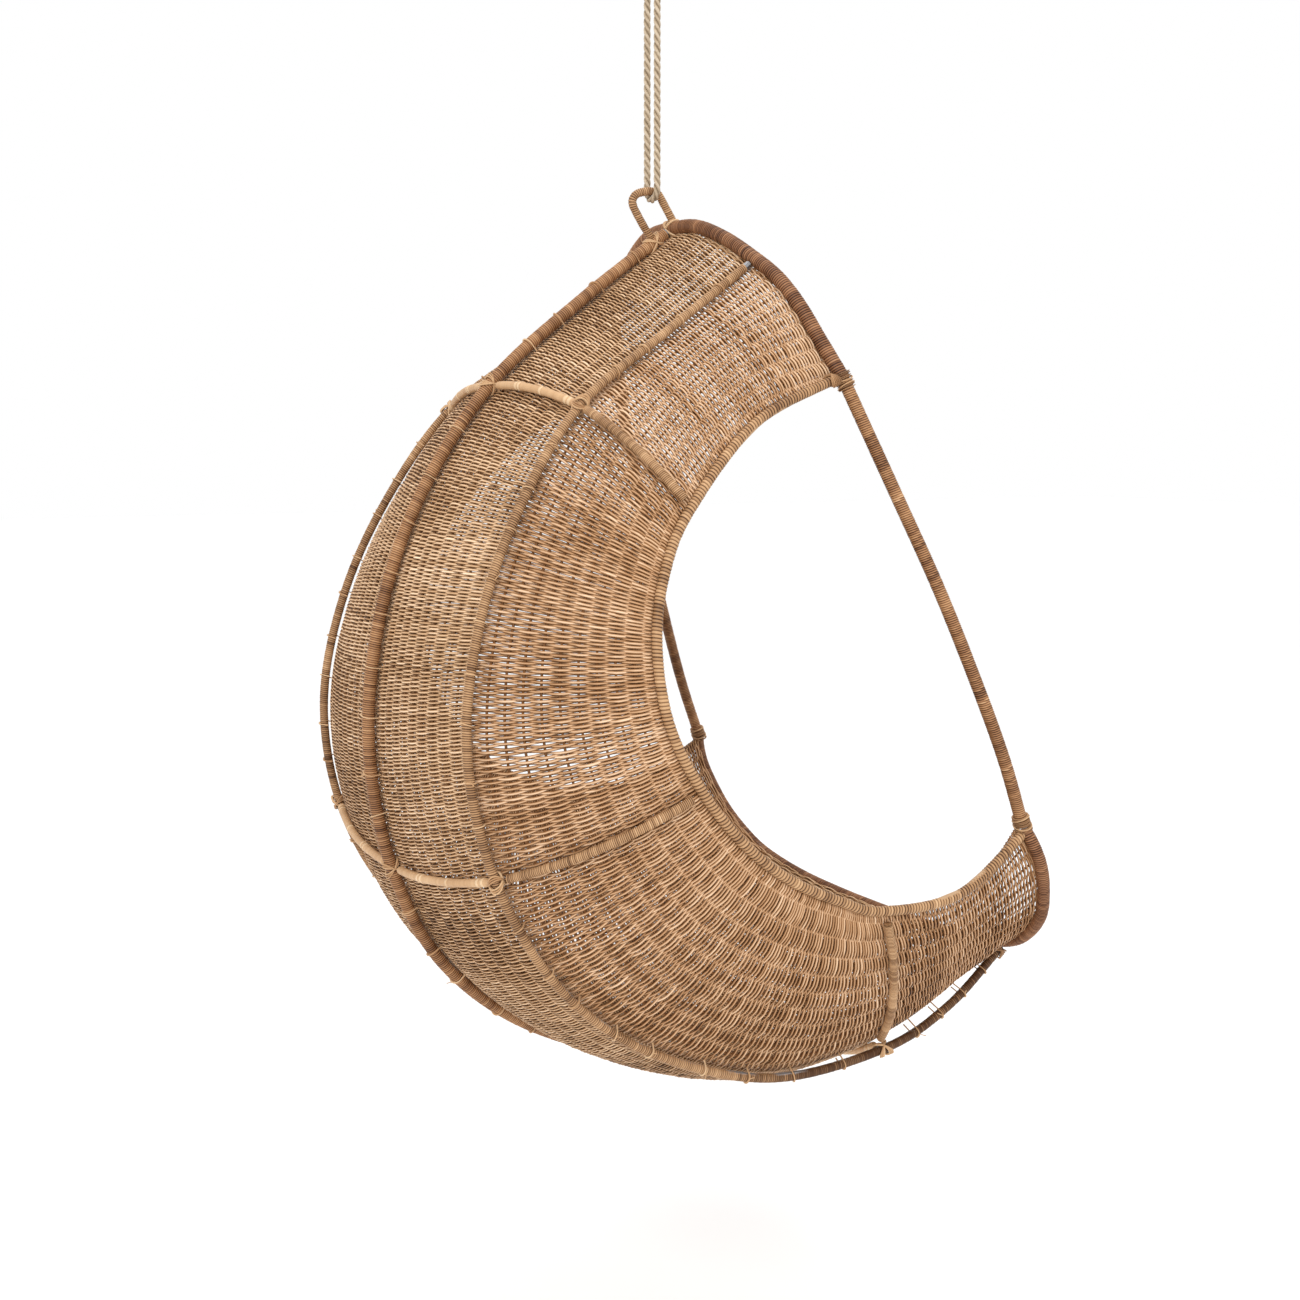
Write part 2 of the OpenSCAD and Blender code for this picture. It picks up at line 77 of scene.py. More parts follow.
BAR_LINE = [[303, 233], [345, 388], [383, 533], [408, 672], [421, 780], [422, 880]]
BOTTOM_BOW_HALF = [
    [0, 1123], [110, 1121], [220, 1113], [318, 1092], [372, 1061],
    [410, 1021], [431, 973], [438, 935], [433, 903], [422, 880],
]
HANDLE_LINE = [
    [-4, -51], [-21, -27], [-32, -7], [-27, 5], [-13, 10.4], [0, 11.6],
    [10, 8.4], [20, -6], [30, -21],
]
ROPE_ROUTE = [
    [0, -14, -149], [0, -14, -142], [0, -14, -135.5], [0, -12.1, -128.5], [0, -7, -123.4],
    [0, 0, -121.5], [0, 7, -123.4], [0, 12.1, -128.5], [0, 14, -135.5], [0, 14, -160],
    [0, 14, -200], [0, 14, -250], [0, 14, -300], [0, 14, -350], [0, 14, -395],
    [0, 14, -415], [0, 14, -426], [0, 12.1, -433], [0, 7, -438.1], [0, 0, -440],
    [0, -7, -438.1], [0, -12.1, -433], [0, -14, -426], [0, -14, -415], [0, -14, -395],
    [0, -14, -350], [0, -14, -300], [0, -14, -250], [0, -14, -200], [0, -14, -165],
    [0, -14, -151],
]
UPPER_HOOP, LOWER_HOOP, FRONT_HOOP = 2, 6, 10
RIM_LEAN = math.radians(20.5)
RIM_NORMAL = np.array([math.cos(RIM_LEAN), 0, math.sin(RIM_LEAN)])
Y = np.array([0.0, 1, 0])
TOP_BOW_D, BOTTOM_BOW_D, BAR_D, SPINE_D, SPAR_D = 20, 18, 18, 18, 13
ARM_RIM_D, HOOP_D, HANDLE_D, ROPE_D = 14, 12, 12, 10
SPINE_CLEAR = SPINE_D / 2 + 4.5
RIM_CLEAR = ARM_RIM_D / 2 - 1
SPAR_CLEAR = ([9.2, 10.3, 11.2, 11.6], [14, 24, 22, 15])
BACK_BULGE = ([0, 2, 6, 8, 10, 12], [15, 12, 14, 26, 30, 16])
SIDE_BULGE = ([0, 2, 6, 10, 12], [25, 18, 28, 22, 16])


# ---- Curves and surfaces, worked on whole arrays
def unit(v):
    return v / np.linalg.norm(v, axis=-1, keepdims=True)


def dot(a, b):
    return np.sum(a * b, axis=-1, keepdims=True)


def spline(points, t):
    """The points at parameters t of the smooth curve through the given ones."""
    p = np.asarray(points, float)
    t = np.asarray(t, float)
    last = len(p) - 1
    i = np.clip(np.floor(t).astype(int), 0, last - 1)
    f = (t - i)[..., None]
    b, c = p[i], p[i + 1]
    a = np.where((i > 0)[..., None], p[np.maximum(i - 1, 0)], 2 * b - c)
    d = np.where((i + 2 <= last)[..., None], p[np.minimum(i + 2, last)], 2 * c - b)
    return 0.5 * (2 * b + (c - a) * f + (2 * a - 5 * b + 4 * c - d) * f**2 + (3 * b - a - 3 * c + d) * f**3)


def evenly(path, step):
    """The path's points at equal distances of about step."""
    along = np.concatenate([[0], np.cumsum(np.linalg.norm(np.diff(path, axis=0), axis=1))])
    count = max(2, int(round(along[-1] / step)) + 1)
    at = np.linspace(0, along[-1], count)
    return np.stack([np.interp(at, along, path[:, i]) for i in range(3)], axis=1)


def stretch(line, start, end, count=400):
    return spline(line, np.linspace(start, end, count))


def off_middle(line, k, side, half, spread):
    """A point of a side outline, which leans outward as it goes down."""
    p = spline(line, k)
    y = side * (half - spread * p[..., 1]) if side else 0 * p[..., 0]
    return np.stack([p[..., 0], y, p[..., 1] - DROP], axis=-1)


def spine(k):
    return off_middle(SPINE_LINE, k, 0, 0, 0)


def spar(k, side):
    return off_middle(SPAR_LINE, k, side, 171, 0.122)


def arm(k, side):
    return off_middle(ARM_LINE, k, side, 254, 0.195)


def rim(line, start, end, side=1):
    """Points in space of part of the rim, which leans back in its own plane."""
    p = stretch(line, start, end)
    return np.stack([
        33 + p[:, 1] * math.sin(RIM_LEAN),
        side * p[:, 0],
        -38 - p[:, 1] * math.cos(RIM_LEAN) - DROP,
    ], axis=1)


def inward(k):
    """Direction from the spine to the arm rim in the chair's middle plane."""
    d = spline(ARM_LINE, k) - spline(SPINE_LINE, k)
    return unit(np.stack([d[..., 0], 0 * d[..., 0], d[..., 1]], axis=-1))


def outward(v, k, side):
    e, y = inward(k), side * Y
    return unit(-dot(v, y) * e + dot(v, e) * y)


def skin(u, k, side):
    """Point and outward normal of the woven skin at (u, k)."""
    u, k = np.broadcast_arrays(np.asarray(u, float), np.asarray(k, float))
    e = inward(k)
    at_spine = spine(k) + SPINE_CLEAR * e
    at_spar = spar(k, side) + np.interp(k, *SPAR_CLEAR)[..., None] * (0.6 * e - 0.8 * side * Y)
    rim_point = arm(k, side)
    at_arm = rim_point - RIM_CLEAR * unit(rim_point - at_spar)
    back = u <= 1
    first = np.where(back[..., None], at_spine, at_spar)
    chord = np.where(back[..., None], at_spar, at_arm) - first
    f = np.where(back, u, u - 1)[..., None]
    bulge = np.where(back, np.interp(k, *BACK_BULGE), np.interp(k, *SIDE_BULGE))[..., None]
    out = outward(chord, k, side)
    point = first + chord * f + 4 * f * (1 - f) * bulge * out
    return point, outward(chord + 4 * (1 - 2 * f) * bulge * out, k, side)


# ---- Meshes
def mesh(name, verts, quads, tris, tones, material, body, replaces=()):
    """One smooth piece from arrays of vertices in mm, of faces and of a tone per vertex."""
    data = bpy.data.meshes.new(name)
    quads = np.asarray(quads, np.int32).reshape(-1, 4)
    tris = np.asarray(tris, np.int32).reshape(-1, 3)
    verts = np.asarray(verts, np.float32).reshape(-1, 3) * MM
    data.vertices.add(len(verts))
    data.vertices.foreach_set("co", verts.ravel())
    data.loops.add(quads.size + tris.size)
    data.loops.foreach_set("vertex_index", np.concatenate([quads.ravel(), tris.ravel()]))
    data.polygons.add(len(quads) + len(tris))
    starts = np.concatenate([4 * np.arange(len(quads)), quads.size + 3 * np.arange(len(tris))])
    data.polygons.foreach_set("loop_start", starts.astype(np.int32))
    data.update(calc_edges=True)
    data.shade_smooth()
    tone = data.attributes.new("tone", "FLOAT", "POINT")
    tone.data.foreach_set("value", np.asarray(tones, np.float32).ravel())
    data.materials.append(material)
    piece = bpy.data.objects.new(name, data)
    bpy.context.scene.collection.objects.link(piece)
    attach(piece, body)
    if replaces:
        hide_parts(*replaces)
    return piece


class Strands:
    """Gathers round or flat strands into one mesh."""

    def __init__(self):
        self.verts, self.quads, self.tris, self.tones, self.count = [], [], [], [], 0

    def add(self, points, across, out, half_w, half_t, tones, sides=6, edge=0.0):
        """points, across and out are (strands, points, 3). half_w is the half width along
        across, half_t the half thickness along out, tones has one value per point, and edge
        is painted shade that darkens the sides of each strand, where it meets its neighbours."""
        rows, length = points.shape[:2]
        turn = 2 * math.pi * (np.arange(sides) + 0.5) / sides
        width = np.broadcast_to(np.asarray(half_w, float), (rows, length))[..., None, None]
        thick = np.broadcast_to(np.asarray(half_t, float), (rows, length))[..., None, None]
        ring = (
            points[:, :, None]
            + width * np.cos(turn)[:, None] * across[:, :, None]
            + thick * np.sin(turn)[:, None] * out[:, :, None]
        )
        index = self.count + np.arange(rows * length * sides).reshape(rows, length, sides)
        after = np.roll(index, -1, axis=2)
        quads = np.stack([index[:, :-1], after[:, :-1], after[:, 1:], index[:, 1:]], axis=-1)
        fan = np.stack([np.zeros(sides - 2, int), np.arange(1, sides - 1), np.arange(2, sides)], axis=1)
        self.verts.append(ring.reshape(-1, 3))
        self.quads.append(quads.reshape(-1, 4))
        self.tris += [index[:, 0][:, fan[:, ::-1]].reshape(-1, 3), index[:, -1][:, fan].reshape(-1, 3)]
        # painted shade: edge lowers the tone on the sides of each strand
        shade = np.broadcast_to(tones, (rows, length))[..., None] - edge * np.cos(turn)**2
        self.tones.append(shade.ravel())
        self.count += rows * length * sides

    def path(self, path, ref, half_w, half_t, tone, sides=6, edge=0.0):
        """One strand along path, its width square to ref's side of the path."""
        path = np.asarray(path, float)
        along = unit(np.gradient(path, axis=0))
        across = unit(np.cross(along, np.broadcast_to(ref, path.shape)))
        out = np.cross(across, along)
        self.add(path[None], across[None], out[None], half_w, half_t, tone, sides, edge)

    def piece(self, name, material, body, slot, replaces=()):
        return mesh(name, np.concatenate(self.verts), np.concatenate(self.quads),
                    np.concatenate(self.tris), np.concatenate(self.tones), material, body, replaces)


GROOVE = 0.65
RINGS = 3


def cane_tones(turns, run=14, spread=0.1, grain=0.09):
    """A tone for each turn of a winding: each length of cane has its own, and each turn a little."""
    lengths = rng.uniform(-spread, spread, turns // run + 2)
    return 0.5 + lengths[np.arange(turns) // run] + rng.normal(0, grain, turns)


def wound(name, path, ref, d, pitch, sides, material, replaces=(), shift=((0, 1), (0, 0))):
    """Cane wound in one close helix round the path, with a groove between the turns, whose
    tone is lowered as painted shade. shift changes the tone along the path, as (places from 0 to 1, changes)."""
    path = evenly(path, pitch / RINGS)
    n = len(path)
    along = unit(np.gradient(path, axis=0))
    across = unit(np.cross(along, np.broadcast_to(ref, path.shape)))
    up = np.cross(across, along)
    i, j = np.meshgrid(np.arange(n), np.arange(sides), indexing="ij")
    at = np.clip(i + RINGS * j / sides, 0, n - 1)
    low = np.floor(at).astype(int)
    high = np.minimum(low + 1, n - 1)
    f = (at - low)[..., None]
    mix = lambda a: a[low] * (1 - f) + a[high] * f
    turn = (2 * math.pi * j / sides)[..., None]
    groove = (i % RINGS == 0)
    turns = cane_tones(n // RINGS + 2)
    wobble = rng.normal(0, 0.1, n // RINGS + 2)[i // RINGS]
    radius = (d / 2 - 0.1 + wobble - GROOVE * groove)[..., None]
    radius = np.minimum(radius, d / 2)
    verts = mix(path) + radius * (np.cos(turn) * mix(across) + np.sin(turn) * mix(up))
    # painted shade: the groove ring between turns is darkened by 0.6
    tone = turns[i // RINGS] - 0.6 * groove + np.interp(i / n, *shift)
    index = np.arange(n * sides).reshape(n, sides)
    quads = []
    for c in range(sides):
        shift = RINGS if c == sides - 1 else 0
        a, b = index[:, c], index[shift:, (c + 1) % sides]
        m = len(b) - 1
        quads.append(np.stack([a[:m], a[1:m + 1], b[1:m + 1], b[:m]], axis=1))
    centres = np.stack([path[0], path[-1]])
    first, last = n * sides, n * sides + 1
    step = np.arange(sides)
    near_ring, far_ring = index[0], index[-1]
    tris = np.concatenate([
        np.stack([np.full(sides, first), near_ring[step], near_ring[(step + 1) % sides]], axis=1),
        np.stack([np.full(sides, last), far_ring[(step + 1) % sides], far_ring[step]], axis=1),
    ])
    return mesh(name, np.concatenate([verts.reshape(-1, 3), centres]), np.concatenate(quads), tris,
                np.concatenate([tone.ravel(), [0.2, 0.2]]), material, "chair", replaces)


# ---- Materials
def shader(name, roughness, metallic=0.0):
    m = bpy.data.materials.new(name)
    m.use_nodes = True
    p = m.node_tree.nodes["Principled BSDF"]
    p.inputs["Roughness"].default_value = roughness
    p.inputs["Metallic"].default_value = metallic
    return m, m.node_tree, p


def plain(name, colour, roughness, metallic=0.0):
    m, _, p = shader(name, roughness, metallic)
    p.inputs["Base Color"].default_value = (*colour, 1)
    return m


def ramp(tree, colours):
    r = tree.nodes.new("ShaderNodeValToRGB")
    stops = r.color_ramp.elements
    while len(stops) < len(colours):
        stops.new(0.5)
    for i, (place, colour) in enumerate(colours):
        stops[i].position = place
        stops[i].color = (*colour, 1)
    return r


def cane(name, colours, roughness=0.5, blotch=0.35, scale=14):
    """Cane whose colour follows each strand's tone, which also carries painted shade at strand sides and in grooves,
    with stains over the whole surface.
    """
    m, tree, p = shader(name, roughness)
    tone = tree.nodes.new("ShaderNodeAttribute")
    tone.attribute_name = "tone"
    place = tree.nodes.new("ShaderNodeTexCoord")
    stain = tree.nodes.new("ShaderNodeTexNoise")
    stain.inputs["Scale"].default_value = scale
    stain.inputs["Detail"].default_value = 5
    centred = tree.nodes.new("ShaderNodeMath")
    centred.operation = "MULTIPLY_ADD"
    centred.inputs[1].default_value = 2 * blotch
    centred.inputs[2].default_value = -blotch
    total = tree.nodes.new("ShaderNodeMath")
    total.operation = "ADD"
    colour = ramp(tree, colours)
    tree.links.new(place.outputs["Object"], stain.inputs["Vector"])
    tree.links.new(stain.outputs["Fac"], centred.inputs[0])
    tree.links.new(tone.outputs["Fac"], total.inputs[0])
    tree.links.new(centred.outputs[0], total.inputs[1])
    tree.links.new(total.outputs[0], colour.inputs["Fac"])
    tree.links.new(colour.outputs["Color"], p.inputs["Base Color"])
    p.inputs["Specular IOR Level"].default_value = 0.18
    return m


WEAVE = cane("woven_cane", [
    (0.0, (0.03, 0.010, 0.003)), (0.3, (0.24, 0.105, 0.036)), (0.6, (0.48, 0.275, 0.14)), (1.0, (0.83, 0.61, 0.42)),
], roughness=0.55, blotch=0.12)
BACK_WEAVE = cane("woven_cane_back", [
    (0.0, (0.03, 0.010, 0.003)), (0.3, (0.24, 0.115, 0.045)), (0.6, (0.55, 0.34, 0.18)), (1.0, (0.90, 0.69, 0.49)),
], roughness=0.55, blotch=0.12)
BINDING = cane("wound_cane", [
    (0.0, (0.035, 0.012, 0.005)), (0.4, (0.28, 0.13, 0.055)), (0.7, (0.47, 0.255, 0.12)), (1.0, (0.68, 0.45, 0.26)),
], roughness=0.5, blotch=0.2)
DARK_BINDING = cane("dark_wound_cane", [
    (0.0, (0.03, 0.010, 0.005)), (0.4, (0.22, 0.095, 0.042)), (0.7, (0.37, 0.185, 0.09)), (1.0, (0.56, 0.35, 0.20)),
], roughness=0.5, blotch=0.2)
TAN_BINDING = cane("tan_wound_cane", [
    (0.0, (0.07, 0.03, 0.012)), (0.4, (0.38, 0.21, 0.10)), (0.7, (0.55, 0.34, 0.18)), (1.0, (0.74, 0.53, 0.33)),
], roughness=0.5, blotch=0.2)
PALE = cane("pale_cane", [
    (0.0, (0.10, 0.045, 0.02)), (0.4, (0.40, 0.22, 0.105)), (0.7, (0.58, 0.37, 0.20)), (1.0, (0.78, 0.58, 0.37)),
], roughness=0.45, blotch=0.2)
ROPE = cane("rope_fibre", [
    (0.0, (0.10, 0.065, 0.035)), (0.5, (0.40, 0.31, 0.21)), (1.0, (0.60, 0.50, 0.38)),
], roughness=0.9, blotch=0.1)
STEEL = plain("plated_steel", (0.55, 0.56, 0.58), 0.32, 1.0)
TUBE = plain("frame_tube", (0.30, 0.30, 0.31), 0.45, 1.0)
BRASS = plain("washer_brass", (0.70, 0.50, 0.22), 0.35, 1.0)
POLE = plain("rattan_pole", (0.45, 0.28, 0.15), 0.5)

# ---- Camera, at the height and side from which the chair shows its near side and back
AZIMUTH, ELEVATION = math.radians(-30), math.radians(6.9)
TARGET = Vector((-0.041, -0.065, -1.074))
DISTANCE = 2.454
camera = bpy.data.objects.new("camera", bpy.data.cameras.new("camera"))
camera.data.lens = 47.9
camera.data.sensor_width = 36
aim = Vector((-math.sin(AZIMUTH) * math.cos(ELEVATION), math.cos(AZIMUTH) * math.cos(ELEVATION), -math.sin(ELEVATION)))
camera.location = TARGET - DISTANCE * aim
camera.rotation_euler = aim.to_track_quat("-Z", "Y").to_euler()
bpy.context.scene.collection.objects.link(camera)
bpy.context.scene.camera = camera

# ---- The rope, one closed sling of three twisted strands
LAY = 34
rope_line = evenly(spline(ROPE_ROUTE, np.linspace(0, len(ROPE_ROUTE) - 1, 900)), 1.6)
rope_along = unit(np.gradient(rope_line, axis=0))
rope_side = np.broadcast_to(np.array([1.0, 0, 0]), rope_line.shape)
rope_up = np.cross(rope_side, rope_along)
rope_reach = np.arange(len(rope_line)) * np.linalg.norm(rope_line[1] - rope_line[0])
rope_strands = Strands()
STRAND_R = 2.6
for strand in range(3):
    phase = 2 * math.pi * (rope_reach / LAY + strand / 3)
    out = np.cos(phase)[:, None] * rope_side + np.sin(phase)[:, None] * rope_up
    line = rope_line + (ROPE_D / 2 - STRAND_R) * out
    yarn = rng.normal(0, 0.05, len(line))
    along = unit(np.gradient(line, axis=0))
    across = unit(np.cross(along, out))
    # edge=0.45 paints shade along the sides of each twisted strand, where the strands press together
    rope_strands.add(line[None], across[None], np.cross(across, along)[None], STRAND_R, STRAND_R,
                     0.75 + 0.1 * (strand - 1) + yarn, 10, edge=0.45)
rope = rope_strands.piece("rope", ROPE, "rope", "rope_fibre", ["hanging_rope"])
whipping = Strands()
turns = np.linspace(0, 2 * math.pi * 11, 11 * 16)
whipping_top, whipping_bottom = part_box("rope_splice")[1][2] / MM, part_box("rope_splice")[0][2] / MM
splice_d = (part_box("rope_splice")[1][0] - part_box("rope_splice")[0][0]) / MM
cord_r = (whipping_top - whipping_bottom) / 11 / 2
whipping.path(np.stack([
    (splice_d / 2 - cord_r) * np.cos(turns),
    ROPE_ROUTE[0][1] + (splice_d / 2 - cord_r) * np.sin(turns),
    np.linspace(whipping_bottom + cord_r, whipping_top - cord_r, len(turns)),
], axis=1), [0, 0, 1], cord_r, cord_r, 0.6)
splice = whipping.piece("splice_whipping", ROPE, "rope", "rope_fibre", ["rope_splice"])

# ---- Hardware and inner tubes keep their CAD shapes
for name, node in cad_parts.items():
    finish = None
    if name in ("ceiling_plate", "swivel_housing", "swivel_eye", "carabiner", "carabiner_gate", "gate_pin"):
        finish = STEEL
    elif name == "thrust_washer":
        finish = BRASS
    elif name.startswith("arm_rim_rod"):
        finish = POLE
    elif "_tube" in name or name == "handle_rod":
        finish = TUBE
    if finish:
        for s in node.material_slots:
            s.material = finish

# ---- Bound frame members
TURN = 3.0


def mirrored(half):
    return [[-w, v] for w, v in half[:0:-1]] + half


top_line = mirrored(TOP_BOW_HALF)
bottom_line = mirrored(BOTTOM_BOW_HALF)
wound("handle_winding", stretch([[x, 0, z - DROP] for x, z in HANDLE_LINE], -0.2, 8.35), Y, HANDLE_D, TURN, 10,
      TAN_BINDING, ["handle_wrap"])
wound("top_bow_winding", rim(top_line, -0.06, len(top_line) - 0.94), RIM_NORMAL, TOP_BOW_D, 3.3, 14,
      DARK_BINDING, ["top_bow_wrap"])
wound("bottom_bow_winding", rim(bottom_line, 0.06, len(bottom_line) - 1.06), RIM_NORMAL, BOTTOM_BOW_D, TURN, 12,
      DARK_BINDING, ["bottom_bow_wrap"])
wound("spine_winding", spine(np.linspace(0.07, 11.9, 600)), Y, SPINE_D, TURN, 12,
      BINDING, ["spine_wrap"], ((0, 0.75, 0.85, 1), (0.1, 0, -0.1, -0.15)))
for side, word in SIDE_NAMES.items():
    wound("front_bar_winding_" + word, rim(BAR_LINE, 0.0, 4.99, side), RIM_NORMAL, BAR_D, TURN, 12,
          BINDING, ["front_bar_wrap_" + word], ((0, 0.1, 0.9, 1), (0.15, 0, 0, 0.1)))
    wound("side_spar_winding_" + word, spar(np.linspace(0.12, 11.965, 600), side), Y, SPAR_D, TURN, 10,
          TAN_BINDING, ["side_spar_wrap_" + word], ((0, 0.74, 0.8, 1), (0, -0.05, -0.35, -0.4)))
    wound("arm_rim_winding_" + word, arm(np.linspace(0.055, 11.94, 600), side), Y, ARM_RIM_D, 4.6, 10,
          TAN_BINDING, ["arm_rim_binding_" + word])

# ---- Hoops: bare cane behind, wound with fine cane at the sides
HOOP_LIFT = HOOP_D / 2 + 3.8


def blunt(count, size):
    """Radii of a pole with rounded ends."""
    near = np.minimum(np.arange(count), np.arange(count)[::-1])
    return size * np.array([0.45, 0.85, 1.0])[np.minimum(near, 2)]


for k, word in ((UPPER_HOOP, "upper"), (LOWER_HOOP, "lower"), (FRONT_HOOP, "front")):
    for side, hand in SIDE_NAMES.items():
        square = spine(k + 0.1) - spine(k - 0.1)
        p, n = skin(np.linspace(0.09, 0.975, 90), k, side)
        line = evenly(p + HOOP_LIFT * n, 2.5)
        pole = Strands()
        thick = blunt(len(line), HOOP_D / 2 - 0.3)
        pole.path(line, square, thick, thick, 0.6 + rng.normal(0, 0.04, len(line)), 12)
        for place in (0.3, 0.34, 0.62, 0.9, 0.94):
            band = line[int(place * len(line)):][:3]
            pole.path(band, square, HOOP_D / 2, HOOP_D / 2, 0.85, 12)
        pole.piece(f"{word}_hoop_pole_{hand}", PALE, "chair", "pale_cane", [f"{word}_hoop_{hand}"])
        p, n = skin(np.linspace(1.06, 1.96, 90), k, side)
        wound(f"{word}_hoop_winding_{hand}", p + HOOP_LIFT * n, square, HOOP_D, 2.4, 10,
              TAN_BINDING, [f"{word}_hoop_{hand}"])

# ---- The weave
BAYS = 10
SAMPLES = 4
STAKE_R = 1.8
BANDS = [("upper", 0.06, 2), ("middle", 2, 6), ("lower", 6, 10), ("front", 10, 11.94)]


class Edge:
    """Draws the ends of the skin out to the inner face of the bow they are bound to."""

    def __init__(self, half, spar_half_w, bow_d, k_edge, k_inside):
        self.half, self.spar_half_w, self.inset = half, spar_half_w, bow_d / 2 + 1
        self.k_edge, self.k_inside = k_edge, k_inside

    def line(self, u, side):
        """Where the skin ends: beside the bow, towards the seat."""
        curve = rim(self.half, 0, len(self.half) - 1, side)
        along = np.concatenate([[0], np.cumsum(np.linalg.norm(np.diff(curve, axis=0), axis=1))])
        out = np.abs(curve[:, 1])
        rising = np.argmax(out) + 1
        at_spar = np.interp(self.spar_half_w, out[:rising], along[:rising])
        at = np.where(u <= 1, u * at_spar, at_spar + (u - 1) * (along[-1] - at_spar))
        bow = np.stack([np.interp(at, along, curve[:, i]) for i in range(3)], axis=-1)
        inside, normal = skin(u, self.k_inside, side)
        back = unit(inside - bow)
        into = unit(-normal + dot(normal, back) * back)
        return bow + self.inset * (0.75 * into + 0.45 * back)

    def shift(self, u, k, side):
        gap = self.line(u, side) - skin(u, self.k_edge, side)[0]
        share = np.clip((k - self.k_inside) / (self.k_edge - self.k_inside), 0, 1)**1.5
        return share[..., None] * gap

    def braid(self, strands, u0, side, tone):
        """A border of cane along the edge of the skin."""
        u = np.linspace(u0 + 0.01, u0 + 0.99, 70)
        edge = self.line(u, side)
        inside, normal = skin(u, self.k_inside, side)
        for i in range(5):
            line = edge + 2.3 * i * unit(inside - edge) + 1.2 * (-1)**i * np.sin(u * 40)[:, None] * normal
            # edge=0.3 paints shade along the sides of each border strand
            strands.path(line, normal, 1.3, 1.1, tone + rng.normal(0, 0.1), edge=0.3)


EDGES = [Edge(TOP_BOW_HALF, 184, TOP_BOW_D, 0.06, 0.8), Edge(BOTTOM_BOW_HALF, 306, BOTTOM_BOW_D, 11.94, 11.2)]


def ripple(rows, every, size):
    """Slow random drift from row to row."""
    knots = np.arange(0, rows + every, every)
    return np.interp(np.arange(rows), knots, rng.normal(0, size, len(knots)))


def weave(name, u0, k0, k1, side, pitch, half_w, half_t, material, slot, replaces):
    """A sheet of cane woven over and under the stakes between u0 and u0 + 1."""
    k_fine = np.linspace(k0, k1, 400)
    middle_u = np.full_like(k_fine, u0 + 0.6)
    middle = skin(middle_u, k_fine, side)[0] + sum(edge.shift(middle_u, k_fine, side) for edge in EDGES)
    reach = np.concatenate([[0], np.cumsum(np.linalg.norm(np.diff(middle, axis=0), axis=1))])
    rows = int(reach[-1] / pitch)
    at = (np.arange(rows) + 0.5 + ripple(rows, 12, 0.35) + rng.normal(0, 0.1, rows)) * reach[-1] / rows
    k = np.interp(at, reach, k_fine)[:, None]
    x = np.linspace(0, BAYS, BAYS * SAMPLES + 1)[None]
    u = np.clip(u0 + x / BAYS, u0 + 1e-6 * u0, None)
    p, n = skin(u, k, side)
    for edge in EDGES:
        p = p + edge.shift(u, k, side)
    row_dir = unit(np.gradient(p, axis=1))
    across = unit(np.cross(n, row_dir))
    over = np.where(np.arange(rows) % 2 == 0, 1.0, -1.0)[:, None]
    ends = np.clip(3 * np.minimum(x, BAYS - x), 0.15, 1)
    height = (STAKE_R + half_t) * over * np.cos(math.pi * x) * ends * (1 + rng.normal(0, 0.06, (rows, 1)))
    sag = np.repeat(rng.normal(0, 0.08, (rows, BAYS // 2 + 1)), 2 * SAMPLES, axis=1)[:, :x.shape[1]]
    p = p + height[..., None] * n + (sag * pitch)[..., None] * across
    bays = rng.normal(0, 0.06, (rows, BAYS + 1)).repeat(SAMPLES, 1)[:, :x.shape[1]]
    tone = 0.74 + rng.normal(0, 0.06, (rows, 1)) + ripple(rows, 25, 0.05)[:, None] + bays
    open_corner = np.clip((k - 11.1) / 0.5, 0, 1) * np.clip((x / BAYS + u0 - 1.3) / 0.3, 0, 1)
    slim = 1 - 0.16 * open_corner
    strands = Strands()
    # edge=0.68 paints shade along the sides of each row of cane, where it meets the next row
    strands.add(p, across, n, half_w * slim * (1 + rng.normal(0, 0.08, (rows, 1))), half_t, tone, edge=0.68)
    stake_k = np.linspace(k0, k1, 80)[None]
    stake_u = u0 + np.arange(1, BAYS)[:, None] / BAYS
    stakes_p, stakes_n = skin(stake_u, stake_k, side)
    for edge in EDGES:
        stakes_p = stakes_p + edge.shift(*np.broadcast_arrays(stake_u, stake_k), side)
    stake_dir = unit(np.gradient(stakes_p, axis=1))
    strands.add(stakes_p, unit(np.cross(stake_dir, stakes_n)), stakes_n, STAKE_R, STAKE_R, 0.2)
    for edge in EDGES:
        if k0 <= edge.k_edge <= k1:
            edge.braid(strands, u0, side, 0.6)
    return strands.piece(name, material, "chair", slot, replaces)


for side, hand in SIDE_NAMES.items():
    for word, k0, k1 in BANDS:
        weave(f"back_weave_cane_{word}_{hand}", 0, k0, k1, side, 2.55, 1.7, 1.15, BACK_WEAVE, "back_weave_cane",
              [f"back_weave_{word}_{hand}"])
        weave(f"side_weave_cane_{word}_{hand}", 1, k0, k1, side, 2.75, 1.95, 1.15, WEAVE, "side_weave_cane",
              [f"side_weave_{word}_{hand}"])

# ---- Ties and lashings
ties = {"spine": Strands(), "left": Strands(), "right": Strands()}
lashings = Strands()


